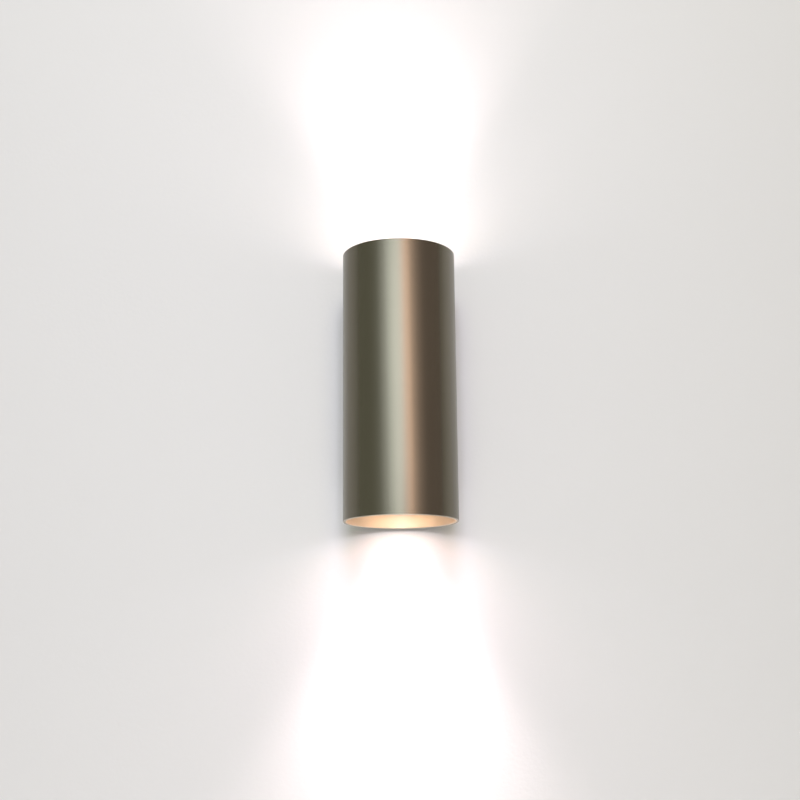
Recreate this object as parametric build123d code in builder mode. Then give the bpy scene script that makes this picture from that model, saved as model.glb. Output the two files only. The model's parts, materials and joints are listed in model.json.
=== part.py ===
from build123d import *
import math
import os

# Tube wall light that shines up and down.
# Frame: the wall is the plane y = 0, the room lies towards -Y, +Z is up.
# The origin is the middle of the wall bracket's back face.
# Lengths are millimetres, angles are degrees.

# ---------------------------------------------------------------- tube
tube_diameter = 75.0
tube_length = 180.0
tube_wall = 2.0
rim_chamfer = 0.3
wall_gap = 4.0  # from the wall to the back of the tube
window_width = 34.0  # opening in the tube's back for the wiring
window_margin = 1.5  # from a holder plate to the window's edge
window_corner = 3.0

# ---------------------------------------------------------------- inner plates
compartment_height = 29.0  # wiring space between the two holder plates
plate_thickness = 1.5
tab_width = 14.0
tab_overrun = 7.0  # tab past the middle of its screw
tab_corner = 3.0
lead_slot_length = 14.0
lead_slot_width = 5.0
lead_slot_margin = 7.0  # from the tube's bore to the middle of the slot

# ---------------------------------------------------------------- lampholders
holder_length = 34.0
holder_width = 18.0
holder_height = 14.5
holder_corner = 4.0
holder_screw_spacing = 24.0
holder_screw_diameter = 3.0
holder_screw_head_diameter = 5.5
holder_screw_head_height = 2.0
holder_screw_recess = 5.0
holder_screw_end = 1.0  # thread past the nut
holder_nut_width = 5.5
holder_nut_height = 2.4
contact_size = 4.6
contact_thickness = 0.6
contact_tail_width = 3.0
lead_offset = 3.8  # lead bore to the middle of the lampholder
lead_exit_drop = 10.7  # lead bore below the lampholder's face

# ---------------------------------------------------------------- bulbs
bulb_diameter = 50.0
bulb_body_length = 47.3
bulb_rim_height = 3.0
bulb_rim_step = 0.8  # housing inside its rim
bulb_rim_taper = 1.2
housing_bulge = 3.0  # of its side, outside the straight line
bulb_bezel_width = 1.4
bulb_neck_diameter = 29.0
bulb_neck_length = 16.3  # base, from its foot to the housing
bulb_base_diameter = 26.0
bulb_base_wall = 2.6
bulb_base_floor = 2.5
bulb_spigot_length = 3.0
bulb_spigot_step = 0.75  # spigot inside the base's outer face
lens_thickness = 2.6
lens_bevel = 0.9
board_depth = 12.0  # from the lens face to the board's seat
board_diameter = 43.0
board_ledge = 1.5  # ledge in the housing that carries the board
board_thickness = 1.6
emitter_size = 3.0
emitter_height = 0.8
emitter_circle = 22.0
emitter_count = 6
driver_width = 17.0
driver_height = 28.0
driver_thickness = 1.6
driver_part_diameter = 8.0
driver_part_height = 13.0
pin_spacing = 10.0
pin_length = 7.0
pin_stem_diameter = 3.0
pin_head_diameter = 5.0
pin_head_height = 2.2
twist_angle = 25.0

# ---------------------------------------------------------------- wiring
block_length = 16.0
block_depth = 13.0
block_set_forward = 8.5  # block's front, forward of the tube's axis
block_edge = 0.8
pole_count = 3
pole_pitch = 8.0
insert_diameter = 4.6
insert_bore = 3.0
insert_recess = 1.0
clamp_screw_spacing = 8.0
clamp_screw_diameter = 2.6
clamp_screw_head = 3.2
clamp_screw_depth = 1.2  # head below the block's face
block_screw_diameter = 2.2
block_screw_head = 4.0
block_screw_head_height = 1.2
block_screw_end = 1.0
bracket_strip_width = 32.0
bracket_strip_reach = 6.0  # strip's flange, behind the tube's axis
bracket_strip_thickness = 1.5
lead_diameter = 1.8
lead_pair_spacing = 2.1  # two leads side by side at one pole
lead_turn_reach = 10.5  # last bend of a short lead, from the insert's face
lead_drift = 0.5  # short lead's shift along y past its plate
long_lead_turn_reach = 10.0
long_lead_drift = 0.9  # long lead's shift at its knee
long_lead_shift = 3.2  # and at its pole
long_lead_knee_z = 7.0
earth_lead_run = 11.7  # straight out of the ring's barrel
earth_lead_side_x = 20.5  # where it passes beside the block
earth_lead_side_y = 28.0
earth_lead_side_z = 2.0
earth_lead_turn_reach = 13.0
earth_lead_turn_z = 0.5

# ---------------------------------------------------------------- wall side
bracket_width = 40.0
bracket_height = 72.0
bracket_thickness = 2.0
bracket_front_play = 0.6  # from its front edge to the tube
bracket_bend = 1.0  # inner radius of its bends
bracket_corner = 3.0
wall_hole_diameter = 5.0
wall_hole_spacing_x = 28.0
wall_hole_spacing_z = 56.0
saddle_height = 110.0
saddle_wall = 2.0
saddle_corner = 4.0
saddle_lift = 0.5  # saddle's back edge, off the wall
lug_width = 20.0
lug_height = 16.0
lug_lift = 1.5  # lug's back face, off the wall
cable_bore = 9.0
grommet_wall = 1.5
grommet_flange = 1.5  # flange past the bracket's hole
grommet_flange_height = 1.2
grommet_lip = 0.9
grommet_lip_height = 0.8
tube_screw_height = 47.0  # above and below the middle
tube_screw_diameter = 4.0
tube_screw_head = 8.0
tube_screw_length = 10.0
clinch_nut_diameter = 8.0
clinch_nut_height = 3.0
side_screw_diameter = 4.0
side_screw_head = 7.0
side_screw_head_height = 2.4
side_screw_length = 6.0
earth_screw_margin = 8.5  # from the bracket's side
earth_screw_drop = 7.0  # below the middle
earth_screw_diameter = 4.0
earth_screw_head = 7.6
earth_screw_head_height = 2.4
earth_collar_diameter = 7.0
earth_collar_height = 1.5
earth_washer_diameter = 9.0
earth_washer_thickness = 0.8
ring_diameter = 8.0
ring_thickness = 0.8
ring_neck_width = 3.0
ring_barrel_height = 5.5  # ring's middle to the barrel's middle
ring_barrel_diameter = 3.4
ring_barrel_length = 6.0
drive_recess = 1.2  # depth of the recess in a screw's head
drive_slot_width = 0.8
drive_slot_share = 0.6  # slot's length over the head's diameter
hex_recess_diameter = 2.9

# ---------------------------------------------------------------- clearances
screw_play = 0.25
thread_play = 0.05
seat_play = 0.05
plate_play = 0.5
tab_play = 0.1
nut_play = 0.02
pin_play = 0.3
press_play = 0.02
bulb_seat_play = 0.2
bracket_play = 0.3
lead_play = 0.1

# ---------------------------------------------------------------- derived places
tube_radius = tube_diameter / 2
bore_radius = tube_radius - tube_wall
tube_axis_y = -(wall_gap + tube_radius)
tube_axis = Axis((0, tube_axis_y, 0), (0, 0, 1))
turn_over_axis = Axis((0, tube_axis_y, 0), (1, 0, 0))
axis_section = Plane(origin=(0, tube_axis_y, 0), x_dir=(1, 0, 0), z_dir=(0, -1, 0))

plate_back_z = compartment_height / 2
holder_back_z = plate_back_z + plate_thickness
shoulder_z = holder_back_z + holder_height
bulb_foot_z = shoulder_z + bulb_seat_play
neck_z = bulb_foot_z + bulb_neck_length
lens_face_z = bulb_foot_z + bulb_body_length
pin_tip_z = bulb_foot_z - pin_length
pin_floor_z = pin_tip_z - pin_play
lip_z = pin_tip_z + pin_head_height + pin_play
pin_circle_radius = pin_spacing / 2
lead_exit_z = shoulder_z - lead_exit_drop
lead_slot_x = bore_radius - lead_slot_margin
tail_face_x = pin_circle_radius + contact_thickness / 2
tab_outer_radius = bore_radius - tab_play
tab_inner_radius = tab_outer_radius - plate_thickness
block_front_y = tube_axis_y - block_set_forward
block_back_y = block_front_y + block_depth
block_middle_y = (block_front_y + block_back_y) / 2
block_height = pole_count * pole_pitch
insert_face_x = block_length / 2 - insert_recess
saddle_width = bracket_width + 2 * (bracket_play + saddle_wall)
flange_inner_x = bracket_width / 2 - bracket_thickness
tube_back_at_flange_y = tube_axis_y + math.sqrt(tube_radius**2 - flange_inner_x**2)
bracket_depth = -tube_back_at_flange_y - bracket_front_play
side_screw_depth = (bracket_depth + bracket_thickness) / 2
earth_screw_x = bracket_width / 2 - earth_screw_margin
earth_screw_z = -earth_screw_drop
holder_screw_places = [(-holder_screw_spacing / 2, 0), (holder_screw_spacing / 2, 0)]
pole_heights = [(i - (pole_count - 1) / 2) * pole_pitch for i in range(pole_count)]
tube_screw_heights = [-tube_screw_height, tube_screw_height]


def facing_wall(x, y, z):
    """Plane at a point, looking out at the wall, its y direction up."""
    return Plane(origin=(x, y, z), x_dir=(-1, 0, 0), z_dir=(0, 1, 0))


def facing_room(x, y, z):
    """Plane at a point, looking into the room, its y direction up."""
    return Plane(origin=(x, y, z), x_dir=(1, 0, 0), z_dir=(0, -1, 0))


def facing_side(x, y, z, side):
    """Plane at a point, looking to +X for side 1 and to -X for side -1."""
    return Plane(origin=(x, y, z), x_dir=(0, side, 0), z_dir=(side, 0, 0))


def write_piece(piece, name):
    """Label a finished sub-part and write it as a STEP file."""
    piece.part.label = name
    export_step(piece.part, f"parts/{name}.step")


def write_turned_over(piece, name):
    """Write the lower twin: the upper piece turned half a turn about the X line."""
    with BuildPart() as twin:
        add(piece.part.rotate(turn_over_axis, 180))
    write_piece(twin, name)


def headed_screw(planes, diameter, length, head, head_height):
    """Pan-head screws with a cross slot; each plane lies under a head, facing the tip."""
    with BuildPart() as screws:
        with BuildSketch(*planes):
            Circle(diameter / 2)
        extrude(amount=length)
        with BuildSketch(*planes):
            Circle(head / 2)
        extrude(amount=-head_height)
        top_planes = [plane.offset(-head_height) for plane in planes]
        recess = min(drive_recess, head_height / 2)
        with BuildSketch(*top_planes):
            Rectangle(head * drive_slot_share, drive_slot_width)
            Rectangle(drive_slot_width, head * drive_slot_share)
        extrude(amount=recess, mode=Mode.SUBTRACT)
    return screws


def bend_radii(points):
    """Radius of each corner of a lead's route: as large as its two runs allow."""
    radii = []
    for before, corner, after in zip(points, points[1:], points[2:]):
        run_in = Vector(*corner) - Vector(*before)
        run_out = Vector(*after) - Vector(*corner)
        half_turn = math.radians(run_in.get_angle(run_out)) / 2
        radii.append(0.45 * min(run_in.length, run_out.length) / math.tan(half_turn))
    return radii


def lead(points, name):
    """One insulated lead: straight runs joined by tangent arcs."""
    radii = bend_radii(points)
    with BuildPart() as wire:
        with BuildLine():
            route = FilletPolyline(*points, radius=radii)
        with BuildSketch(Plane(origin=route @ 0, z_dir=route % 0)):
            Circle(lead_diameter / 2)
        sweep(path=route)
    section = math.pi * lead_diameter**2 / 4
    print(name, "radii", [round(radius, 1) for radius in radii])
    print(name, "volume", round(wire.part.volume, 2), "of", round(section * route.length, 2))
    write_piece(wire, name)


os.makedirs("parts", exist_ok=True)

# ---------------------------------------------------------------- outer tube
with BuildPart() as outer_tube:
    with BuildSketch(Plane.XY.offset(-tube_length / 2)):
        with Locations((0, tube_axis_y)):
            Circle(tube_radius)
            Circle(bore_radius, mode=Mode.SUBTRACT)
    extrude(amount=tube_length)
    chamfer(outer_tube.edges().filter_by(GeomType.CIRCLE), length=rim_chamfer)
    with BuildSketch(facing_room(0, 0, 0)):
        RectangleRounded(window_width, compartment_height - 2 * window_margin, window_corner)
        with Locations(*[(0, height) for height in tube_screw_heights]):
            Circle(tube_screw_diameter / 2 + screw_play)
    extrude(amount=-tube_axis_y, mode=Mode.SUBTRACT)
write_piece(outer_tube, "outer_tube")

# ---------------------------------------------------------------- rear saddle
with BuildPart() as rear_saddle:
    with BuildSketch(facing_room(0, -saddle_lift, 0)):
        RectangleRounded(saddle_width, saddle_height, saddle_corner)
        RectangleRounded(
            saddle_width - 2 * saddle_wall,
            saddle_height - 2 * saddle_wall,
            saddle_corner - saddle_wall,
            mode=Mode.SUBTRACT,
        )
    extrude(amount=-tube_axis_y)
    lug_middle_z = saddle_height / 2 - lug_height / 2
    with BuildSketch(facing_room(0, -lug_lift, 0)):
        with Locations((0, -lug_middle_z), (0, lug_middle_z)):
            Rectangle(lug_width, lug_height)
    extrude(amount=-tube_axis_y)
    with BuildSketch(Plane.XY.offset(-saddle_height)):
        with Locations((0, tube_axis_y)):
            Circle(tube_radius + seat_play)
    extrude(amount=2 * saddle_height, mode=Mode.SUBTRACT)
    with BuildSketch(Plane.XY.offset(-saddle_height)):
        with Locations((0, tube_axis_y)):
            Rectangle(2 * tube_diameter, 2 * tube_radius, align=(Align.CENTER, Align.MAX))
    extrude(amount=2 * saddle_height, mode=Mode.SUBTRACT)
    with Locations(*[facing_wall(0, -lug_lift, height) for height in tube_screw_heights]):
        CounterSinkHole(
            radius=tube_screw_diameter / 2 + screw_play,
            counter_sink_radius=tube_screw_head / 2 + screw_play,
            depth=wall_gap,
            counter_sink_angle=90,
        )
    with BuildSketch(facing_side(-saddle_width, -side_screw_depth, 0, 1)):
        Circle(side_screw_diameter / 2 + screw_play)
    extrude(amount=2 * saddle_width, mode=Mode.SUBTRACT)
write_piece(rear_saddle, "rear_saddle")

# ---------------------------------------------------------------- wall bracket
with BuildPart() as wall_bracket:
    with BuildSketch(Plane.XY.offset(-bracket_height / 2)) as channel:
        Rectangle(bracket_width, bracket_depth, align=(Align.CENTER, Align.MAX))
        fillet(
            channel.vertices().group_by(Axis.Y)[-1],
            radius=bracket_bend + bracket_thickness,
        )
        with BuildSketch(mode=Mode.SUBTRACT) as channel_inside:
            with Locations((0, -bracket_thickness)):
                Rectangle(
                    bracket_width - 2 * bracket_thickness,
                    bracket_depth,
                    align=(Align.CENTER, Align.MAX),
                )
            fillet(channel_inside.vertices().group_by(Axis.Y)[-1], radius=bracket_bend)
    extrude(amount=bracket_height)
    front_corners = wall_bracket.edges().filter_by(Axis.X).group_by(Axis.Y)[0]
    fillet(front_corners, radius=bracket_corner)
    with BuildSketch(facing_room(earth_screw_x, -bracket_thickness, earth_screw_z)):
        Circle(earth_collar_diameter / 2)
    extrude(amount=earth_collar_height)
    with BuildSketch(facing_room(0, 0, 0)):
        with GridLocations(wall_hole_spacing_x, wall_hole_spacing_z, 2, 2):
            Circle(wall_hole_diameter / 2)
        Circle(cable_bore / 2 + grommet_wall + seat_play)
        with Locations((earth_screw_x, earth_screw_z)):
            Circle(earth_screw_diameter / 2 + thread_play)
    extrude(amount=bracket_depth, mode=Mode.SUBTRACT)
    with BuildSketch(facing_room(0, 0, 0)):
        Circle(cable_bore / 2 + grommet_wall + grommet_lip + 2 * seat_play)
    extrude(amount=grommet_lip_height, mode=Mode.SUBTRACT)
    with BuildSketch(facing_side(-bracket_width, -side_screw_depth, 0, 1)):
        Circle(side_screw_diameter / 2 + thread_play)
    extrude(amount=2 * bracket_width, mode=Mode.SUBTRACT)
write_piece(wall_bracket, "wall_bracket")

# ---------------------------------------------------------------- cable grommet
with BuildPart() as cable_grommet:
    neck_radius = cable_bore / 2 + grommet_wall
    with BuildSketch(facing_room(0, -seat_play, 0)):
        Circle(neck_radius + grommet_lip)
    extrude(amount=grommet_lip_height - 2 * seat_play)
    with BuildSketch(facing_room(0, -seat_play, 0)):
        Circle(neck_radius)
    extrude(amount=bracket_thickness)
    with BuildSketch(facing_room(0, -bracket_thickness, 0)):
        Circle(neck_radius + grommet_flange)
    extrude(amount=grommet_flange_height)
    with BuildSketch(facing_room(0, 0, 0)):
        Circle(cable_bore / 2)
    extrude(amount=bracket_depth, mode=Mode.SUBTRACT)
write_piece(cable_grommet, "cable_grommet")

# ---------------------------------------------------------------- side screws
side_screw_planes = [
    facing_side(-side * saddle_width / 2, -side_screw_depth, 0, side) for side in (-1, 1)
]
side_screws = headed_screw(
    side_screw_planes,
    side_screw_diameter,
    side_screw_length,
    side_screw_head,
    side_screw_head_height,
)
write_piece(side_screws, "side_screws")

# ---------------------------------------------------------------- tube screws
with BuildPart() as tube_screws:
    head_planes = [facing_room(0, -lug_lift, height) for height in tube_screw_heights]
    head_taper_height = (tube_screw_head - tube_screw_diameter) / 2
    with Locations(*head_planes):
        Cone(
            bottom_radius=tube_screw_head / 2,
            top_radius=tube_screw_diameter / 2,
            height=head_taper_height,
            align=(Align.CENTER, Align.CENTER, Align.MIN),
        )
    with BuildSketch(*head_planes):
        Circle(tube_screw_diameter / 2)
    extrude(amount=tube_screw_length)
    with BuildSketch(*head_planes):
        RegularPolygon(radius=hex_recess_diameter / 2, side_count=6)
    extrude(amount=drive_recess, mode=Mode.SUBTRACT)
write_piece(tube_screws, "tube_screws")

# ---------------------------------------------------------------- clinch nuts
with BuildPart() as clinch_nuts:
    nut_sag = tab_inner_radius - math.sqrt(tab_inner_radius**2 - clinch_nut_diameter**2 / 4)
    nut_face_y = tube_axis_y + tab_inner_radius - nut_sag - nut_play
    nut_planes = [facing_room(0, nut_face_y, height) for height in tube_screw_heights]
    with BuildSketch(*nut_planes):
        Circle(clinch_nut_diameter / 2)
        Circle(tube_screw_diameter / 2 + thread_play, mode=Mode.SUBTRACT)
    extrude(amount=clinch_nut_height)
write_piece(clinch_nuts, "clinch_nuts")

# ---------------------------------------------------------------- holder plates
# Both are the same pressing: a disc with a tab that runs along the tube's back.
with BuildPart() as upper_holder_plate:
    with BuildSketch(Plane.XY.offset(plate_back_z)):
        with Locations((0, tube_axis_y)):
            Circle(bore_radius - plate_play)
    extrude(amount=plate_thickness)
    with BuildSketch(Plane.XY.offset(plate_back_z)):
        with Locations((0, tube_axis_y)):
            Circle(tab_outer_radius)
            Circle(tab_inner_radius, mode=Mode.SUBTRACT)
            Rectangle(
                tab_width,
                tube_radius,
                align=(Align.CENTER, Align.MIN),
                mode=Mode.INTERSECT,
            )
    extrude(amount=tube_screw_height + tab_overrun - plate_back_z)
    tab_top = upper_holder_plate.faces().sort_by(Axis.Z)[-1]
    fillet(tab_top.edges().filter_by(Axis.Y, tolerance=15), radius=tab_corner)
    with BuildSketch(Plane.XY.offset(plate_back_z)):
        with Locations((0, tube_axis_y)):
            with Locations((-lead_slot_x, 0), (lead_slot_x, 0)):
                SlotOverall(lead_slot_length, lead_slot_width, rotation=90)
            with Locations(*holder_screw_places):
                Circle(holder_screw_diameter / 2 + screw_play)
    extrude(amount=plate_thickness, mode=Mode.SUBTRACT)
    with BuildSketch(facing_room(0, 0, tube_screw_height)):
        Circle(tube_screw_diameter / 2 + screw_play)
    extrude(amount=-tube_axis_y, mode=Mode.SUBTRACT)
write_piece(upper_holder_plate, "upper_holder_plate")

with BuildPart() as lower_holder_plate:
    add(upper_holder_plate.part.rotate(Axis.Y, 180))
write_piece(lower_holder_plate, "lower_holder_plate")

# ---------------------------------------------------------------- centre bracket
# A bent strip between the holder plates; it carries the terminal block.
with BuildPart() as centre_bracket:
    strip_depth = block_set_forward + bracket_strip_reach + bracket_strip_thickness
    with BuildSketch(Plane.YZ.offset(-bracket_strip_width / 2)) as strip:
        with Locations((block_front_y - bracket_strip_thickness, 0)):
            Rectangle(strip_depth, compartment_height, align=(Align.MIN, Align.CENTER))
        with Locations((block_front_y, 0)):
            Rectangle(
                strip_depth,
                compartment_height - 2 * bracket_strip_thickness,
                align=(Align.MIN, Align.CENTER),
                mode=Mode.SUBTRACT,
            )
        fillet(strip.vertices().group_by(Axis.Y)[0], radius=bracket_strip_thickness)
    extrude(amount=bracket_strip_width)
    with BuildSketch(Plane.XY.offset(-compartment_height / 2)):
        with Locations((0, tube_axis_y)):
            with Locations(*holder_screw_places):
                Circle(holder_screw_diameter / 2 + screw_play)
    extrude(amount=compartment_height, mode=Mode.SUBTRACT)
    with BuildSketch(facing_room(0, block_back_y, 0)):
        with Locations((0, -pole_pitch / 2), (0, pole_pitch / 2)):
            Circle(block_screw_diameter / 2 + thread_play)
    extrude(amount=2 * block_depth, mode=Mode.SUBTRACT)
write_piece(centre_bracket, "centre_bracket")

# ---------------------------------------------------------------- terminal block
with BuildPart() as terminal_block:
    with BuildSketch(facing_wall(0, block_front_y, 0)):
        RectangleRounded(block_length, block_height, block_edge)
    extrude(amount=block_depth)
    pole_planes = [
        facing_side(-block_length / 2, block_middle_y, height, 1) for height in pole_heights
    ]
    with BuildSketch(*pole_planes):
        Circle(insert_diameter / 2 + seat_play)
    extrude(amount=block_length, mode=Mode.SUBTRACT)
    block_back = facing_wall(0, block_back_y, 0)
    with BuildSketch(block_back):
        with GridLocations(clamp_screw_spacing, pole_pitch, 2, pole_count):
            Circle(clamp_screw_head / 2 + screw_play)
    extrude(amount=-block_depth / 2, mode=Mode.SUBTRACT)
    with BuildSketch(block_back):
        with GridLocations(1, pole_pitch, 1, pole_count - 1):
            Circle(block_screw_diameter / 2 + 0.5 * screw_play)
    extrude(amount=-block_depth, mode=Mode.SUBTRACT)
write_piece(terminal_block, "terminal_block")

with BuildPart() as terminal_inserts:
    insert_planes = [
        facing_side(-insert_face_x, block_middle_y, height, 1) for height in pole_heights
    ]
    with BuildSketch(*insert_planes):
        Circle(insert_diameter / 2)
        Circle(insert_bore / 2, mode=Mode.SUBTRACT)
    extrude(amount=2 * insert_face_x)
    with BuildSketch(facing_wall(0, block_middle_y, 0)):
        with GridLocations(clamp_screw_spacing, pole_pitch, 2, pole_count):
            Circle(clamp_screw_diameter / 2 + thread_play)
    extrude(amount=insert_diameter, mode=Mode.SUBTRACT)
write_piece(terminal_inserts, "terminal_inserts")

with BuildPart() as terminal_screws:
    clamp_head_y = block_back_y - clamp_screw_depth
    with BuildSketch(facing_room(0, clamp_head_y, 0)):
        with GridLocations(clamp_screw_spacing, pole_pitch, 2, pole_count):
            Circle(clamp_screw_head / 2)
    extrude(amount=block_back_y - block_middle_y - clamp_screw_depth - insert_diameter / 2)
    with BuildSketch(facing_room(0, clamp_head_y, 0)):
        with GridLocations(clamp_screw_spacing, pole_pitch, 2, pole_count):
            Circle(clamp_screw_diameter / 2)
    extrude(amount=block_back_y - block_middle_y - clamp_screw_depth)
    with BuildSketch(facing_room(0, clamp_head_y, 0)):
        with GridLocations(clamp_screw_spacing, pole_pitch, 2, pole_count):
            Rectangle(clamp_screw_head, drive_slot_width)
    extrude(amount=drive_recess, mode=Mode.SUBTRACT)
write_piece(terminal_screws, "terminal_screws")

block_screw_planes = [
    facing_room(0, block_back_y, height) for height in (-pole_pitch / 2, pole_pitch / 2)
]
block_screws = headed_screw(
    block_screw_planes,
    block_screw_diameter,
    block_depth + bracket_strip_thickness + block_screw_end,
    block_screw_head,
    block_screw_head_height,
)
write_piece(block_screws, "block_screws")

# ---------------------------------------------------------------- lampholders
pin_track = CenterArc((0, 0), pin_circle_radius, 0, twist_angle)
entry_place = (
    pin_circle_radius * math.cos(math.radians(twist_angle)),
    pin_circle_radius * math.sin(math.radians(twist_angle)),
)
contact_reach = lead_offset + contact_tail_width / 2

with BuildPart() as upper_lampholder:
    with BuildSketch(Plane.XY.offset(holder_back_z)):
        with Locations((0, tube_axis_y)):
            RectangleRounded(holder_length, holder_width, holder_corner)
    extrude(amount=holder_height)
    with BuildSketch(Plane.XY.offset(pin_floor_z)):
        with Locations((0, tube_axis_y)):
            with PolarLocations(0, 2):
                SlotArc(pin_track, pin_head_diameter + 2 * pin_play)
    extrude(amount=lip_z - pin_floor_z, mode=Mode.SUBTRACT)
    with BuildSketch(Plane.XY.offset(lip_z)):
        with Locations((0, tube_axis_y)):
            with PolarLocations(0, 2):
                SlotArc(pin_track, pin_stem_diameter + 2 * pin_play)
                with Locations(entry_place):
                    Circle(pin_head_diameter / 2 + pin_play)
    extrude(amount=shoulder_z - lip_z, mode=Mode.SUBTRACT)
    with BuildSketch(Plane.XY.offset(pin_floor_z - contact_thickness)):
        with Locations((0, tube_axis_y)):
            with PolarLocations(0, 2):
                with Locations((pin_circle_radius, contact_reach)):
                    Rectangle(
                        contact_size + 2 * seat_play,
                        contact_reach + contact_size / 2 + seat_play,
                        align=(Align.CENTER, Align.MAX),
                    )
    extrude(amount=contact_thickness, mode=Mode.SUBTRACT)
    with BuildSketch(Plane.XY.offset(lead_exit_z - lead_diameter)):
        with Locations((0, tube_axis_y)):
            with PolarLocations(0, 2):
                with Locations((pin_circle_radius, lead_offset)):
                    Rectangle(
                        contact_thickness + 2 * seat_play,
                        contact_tail_width + 2 * seat_play,
                    )
    extrude(amount=pin_floor_z - lead_exit_z + lead_diameter, mode=Mode.SUBTRACT)
    for offset, start_x in (
        (lead_offset, tail_face_x),
        (-lead_offset, tail_face_x - pin_spacing),
    ):
        with BuildSketch(facing_side(start_x, tube_axis_y + offset, lead_exit_z, 1)):
            Circle(lead_diameter / 2 + lead_play)
        extrude(amount=holder_length, mode=Mode.SUBTRACT)
    with BuildSketch(Plane.XY.offset(holder_back_z)):
        with Locations((0, tube_axis_y)):
            with Locations(*holder_screw_places):
                Circle(holder_screw_diameter / 2 + screw_play)
    extrude(amount=holder_height, mode=Mode.SUBTRACT)
    with BuildSketch(Plane.XY.offset(shoulder_z)):
        with Locations((0, tube_axis_y)):
            with Locations(*holder_screw_places):
                Circle(holder_screw_head_diameter / 2 + screw_play)
    extrude(amount=-holder_screw_recess, mode=Mode.SUBTRACT)
write_piece(upper_lampholder, "upper_lampholder")
write_turned_over(upper_lampholder, "lower_lampholder")

with BuildPart() as upper_contacts:
    with BuildSketch(Plane.XY.offset(pin_floor_z - contact_thickness)):
        with Locations((0, tube_axis_y)):
            with PolarLocations(0, 2):
                with Locations((pin_circle_radius, contact_reach)):
                    Rectangle(
                        contact_size,
                        contact_reach + contact_size / 2,
                        align=(Align.CENTER, Align.MAX),
                    )
    extrude(amount=contact_thickness)
    with BuildSketch(Plane.XY.offset(pin_floor_z - contact_thickness)):
        with Locations((0, tube_axis_y)):
            with PolarLocations(0, 2):
                with Locations((pin_circle_radius, lead_offset)):
                    Rectangle(contact_thickness, contact_tail_width)
    extrude(amount=-(pin_floor_z - contact_thickness - lead_exit_z + lead_diameter))
write_piece(upper_contacts, "upper_contacts")
write_turned_over(upper_contacts, "lower_contacts")

screw_seat_z = shoulder_z - holder_screw_recess
nut_seat_z = plate_back_z - bracket_strip_thickness
holder_screw_planes = []
nut_planes = []
for up in (1, -1):
    for x, y in holder_screw_places:
        down = Vector(0, 0, -up)
        screw_place = (x, tube_axis_y + y, up * screw_seat_z)
        nut_place = (x, tube_axis_y + y, up * nut_seat_z)
        holder_screw_planes.append(Plane(origin=screw_place, x_dir=(1, 0, 0), z_dir=down))
        nut_planes.append(Plane(origin=nut_place, x_dir=(1, 0, 0), z_dir=down))
holder_screws = headed_screw(
    holder_screw_planes,
    holder_screw_diameter,
    screw_seat_z - nut_seat_z + holder_nut_height + holder_screw_end,
    holder_screw_head_diameter,
    holder_screw_head_height,
)
write_piece(holder_screws, "holder_screws")

with BuildPart() as holder_nuts:
    with BuildSketch(*nut_planes):
        RegularPolygon(radius=holder_nut_width / 2, side_count=6, major_radius=False)
        Circle(holder_screw_diameter / 2 + thread_play, mode=Mode.SUBTRACT)
    extrude(amount=holder_nut_height)
write_piece(holder_nuts, "holder_nuts")

# ---------------------------------------------------------------- bulbs
bulb_radius = bulb_diameter / 2
housing_bore_radius = board_diameter / 2 + seat_play
ledge_radius = housing_bore_radius - board_ledge
lens_radius = bulb_radius - bulb_bezel_width
spigot_radius = bulb_base_diameter / 2 - bulb_spigot_step
board_seat_z = lens_face_z - board_depth
lens_seat_z = lens_face_z - lens_thickness
spigot_top_z = neck_z + bulb_spigot_length
rim_foot_z = lens_face_z - bulb_rim_height
rim_step_z = rim_foot_z - bulb_rim_taper
inner_bulge = housing_bulge * ((board_seat_z - spigot_top_z) / (rim_step_z - neck_z)) ** 2

with BuildPart() as upper_bulb_housing:
    with BuildSketch(axis_section):
        with BuildLine():
            rim_step = (bulb_radius - bulb_rim_step, rim_step_z)
            neck_edge = (bulb_neck_diameter / 2, neck_z)
            inner_foot = (bulb_neck_diameter / 2, spigot_top_z)
            ledge_edge = (ledge_radius, board_seat_z)
            Polyline((bulb_radius, lens_face_z), (bulb_radius, rim_foot_z), rim_step)
            SagittaArc(rim_step, neck_edge, housing_bulge)
            Polyline(
                neck_edge,
                (spigot_radius + press_play, neck_z),
                (spigot_radius + press_play, spigot_top_z),
                inner_foot,
            )
            SagittaArc(inner_foot, ledge_edge, -inner_bulge)
            Polyline(
                ledge_edge,
                (housing_bore_radius, board_seat_z),
                (housing_bore_radius, lens_seat_z),
                (lens_radius + press_play, lens_seat_z),
                (lens_radius + press_play, lens_face_z),
                (bulb_radius, lens_face_z),
            )
        make_face()
    revolve(axis=tube_axis)
write_piece(upper_bulb_housing, "upper_bulb_housing")
write_turned_over(upper_bulb_housing, "lower_bulb_housing")

with BuildPart() as upper_bulb_lens:
    with BuildSketch(Plane.XY.offset(lens_seat_z)):
        with Locations((0, tube_axis_y)):
            Circle(lens_radius)
    extrude(amount=lens_thickness)
    lens_edge = upper_bulb_lens.edges().sort_by(Axis.Z)[-1]
    chamfer(lens_edge, length=lens_bevel)
write_piece(upper_bulb_lens, "upper_bulb_lens")
write_turned_over(upper_bulb_lens, "lower_bulb_lens")

with BuildPart() as upper_bulb_board:
    with BuildSketch(Plane.XY.offset(board_seat_z)):
        with Locations((0, tube_axis_y)):
            Circle(board_diameter / 2)
    extrude(amount=board_thickness)
    with BuildSketch(Plane.XY.offset(board_seat_z + board_thickness)):
        with Locations((0, tube_axis_y)):
            Rectangle(emitter_size, emitter_size)
            with PolarLocations(emitter_circle / 2, emitter_count):
                Rectangle(emitter_size, emitter_size)
    extrude(amount=emitter_height)
write_piece(upper_bulb_board, "upper_bulb_board")
write_turned_over(upper_bulb_board, "lower_bulb_board")

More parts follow.
